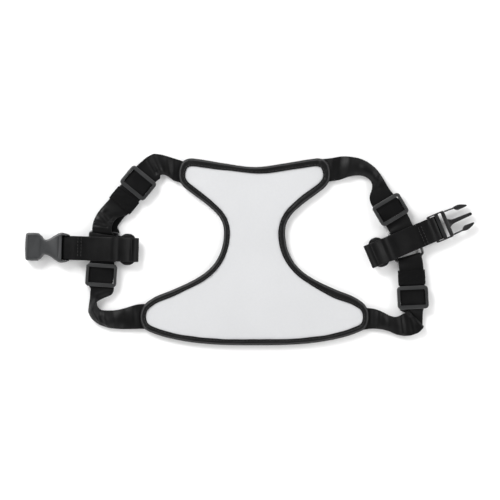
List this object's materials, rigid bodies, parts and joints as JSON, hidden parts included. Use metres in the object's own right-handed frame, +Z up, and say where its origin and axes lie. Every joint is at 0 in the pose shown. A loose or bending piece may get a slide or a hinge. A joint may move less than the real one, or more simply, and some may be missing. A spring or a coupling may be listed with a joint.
{
  "type": "pet harness vest",
  "caption": "Flat step-in chest harness for a pet: padded hourglass panel with bound edge, adjustable neck and girth straps, rings and a side-release buckle.",
  "frame": {"origin": "under the middle of the harness as it lies, on the surface it lies on", "axes": "+X towards the male buckle half's side, +Y towards the neck edge, +Z up out of the surface"},
  "size_m": [0.4624, 0.1978, 0.0115],
  "materials": {
    "webbing": "matte woven webbing",
    "elastic": "matte ribbed elastic",
    "binding_tape": "matte knitted tape",
    "face_fabric": "smooth matte",
    "foam": "matte foam",
    "mesh_lining": "matte air mesh",
    "buckle_plastic": "satin",
    "ring_metal": "glossy"
  },
  "bodies": {
    "panel": {"panel_lining": "mesh_lining", "panel_foam": "foam", "panel_face": "face_fabric", "panel_binding": "binding_tape"},
    "left_side": {"left_neck_strap": "webbing", "left_girth_strap": "webbing", "left_ring": "ring_metal", "left_belt_inner": "webbing", "left_belt_keeper": "elastic"},
    "left_neck_slide": {"left_neck_slider": "buckle_plastic"},
    "left_neck_loop": {"left_neck_keeper": "elastic"},
    "left_girth_slide": {"left_girth_slider": "buckle_plastic"},
    "left_belt": {"left_belt_outer": "webbing"},
    "female_buckle": {"buckle_female": "buckle_plastic"},
    "right_side": {"right_neck_strap": "webbing", "right_girth_strap": "webbing", "right_ring": "ring_metal", "right_belt_inner": "webbing", "right_belt_keeper": "elastic"},
    "right_neck_slide": {"right_neck_slider": "buckle_plastic"},
    "right_girth_slide": {"right_girth_slider": "buckle_plastic"},
    "right_girth_loop": {"right_girth_keeper": "elastic"},
    "right_belt": {"right_belt_outer": "webbing"},
    "male_buckle": {"buckle_male": "buckle_plastic"},
    "male_arm_rear": {"buckle_arm_rear": "buckle_plastic"},
    "male_arm_front": {"buckle_arm_front": "buckle_plastic"}
  },
  "joints": [
    {"name": "left_side_fold", "type": "hinge", "parent": "panel", "child": "left_side", "pos_m": [-0.0762, 0.0842, 0.00315], "axis": [0.2511, 0.968, 0], "range_deg": [0, 110]},
    {"name": "right_side_fold", "type": "hinge", "parent": "panel", "child": "right_side", "pos_m": [0.0852, 0.0822, 0.00315], "axis": [0.2523, -0.9676, 0], "range_deg": [0, 110]},
    {"name": "left_belt_fold", "type": "hinge", "parent": "left_side", "child": "left_belt", "pos_m": [-0.1168, -0.0006, 0.0074], "axis": [-0.0314, -0.9995, 0], "range_deg": [-150, 0]},
    {"name": "right_belt_fold", "type": "hinge", "parent": "right_side", "child": "right_belt", "pos_m": [0.1232, -0.0074, 0.0074], "axis": [-0.3907, 0.9205, 0], "range_deg": [-150, 0]},
    {"name": "female_buckle_swing", "type": "hinge", "parent": "left_belt", "child": "female_buckle", "pos_m": [-0.18776, 0.00163, 0.00575], "axis": [0.0314, 0.9995, 0], "range_deg": [-45, 60]},
    {"name": "male_buckle_swing", "type": "hinge", "parent": "right_belt", "child": "male_buckle", "pos_m": [0.18856, 0.02034, 0.00575], "axis": [0.3907, -0.9205, 0], "range_deg": [-45, 60]},
    {"name": "buckle_arm_rear_flex", "type": "hinge", "parent": "male_buckle", "child": "male_arm_rear", "pos_m": [0.19992, 0.03913, 0.00575], "axis": [0, 0, -1], "range_deg": [0, 8], "stiffness_Nm_per_rad": 0.3},
    {"name": "buckle_arm_front_flex", "type": "hinge", "parent": "male_buckle", "child": "male_arm_front", "pos_m": [0.20996, 0.01547, 0.00575], "axis": [0, 0, 1], "range_deg": [0, 8], "stiffness_Nm_per_rad": 0.3},
    {"name": "left_neck_adjust", "type": "slide", "parent": "left_side", "child": "left_neck_slide", "axis": [-0.6347, -0.7727, 0], "range_m": [0, 0.012]},
    {"name": "left_neck_keeper_slide", "type": "slide", "parent": "left_side", "child": "left_neck_loop", "axis": [-0.6347, -0.7727, 0], "range_m": [0, 0.012]},
    {"name": "left_girth_adjust", "type": "slide", "parent": "left_side", "child": "left_girth_slide", "axis": [-0.0698, -0.9976, 0], "range_m": [0, 0.015]},
    {"name": "right_neck_adjust", "type": "slide", "parent": "right_side", "child": "right_neck_slide", "axis": [0.512, -0.859, 0], "range_m": [-0.02, 0.006]},
    {"name": "right_girth_adjust", "type": "slide", "parent": "right_side", "child": "right_girth_slide", "axis": [-0.049, 0.9988, 0], "range_m": [0, 0.006]},
    {"name": "right_girth_keeper_slide", "type": "slide", "parent": "right_side", "child": "right_girth_loop", "axis": [-0.049, 0.9988, 0], "range_m": [0, 0.006]}
  ],
  "couplings": [
    {"joint": "left_neck_keeper_slide", "follows": "left_neck_adjust", "ratio": 1},
    {"joint": "right_girth_keeper_slide", "follows": "right_girth_adjust", "ratio": 1}
  ]
}
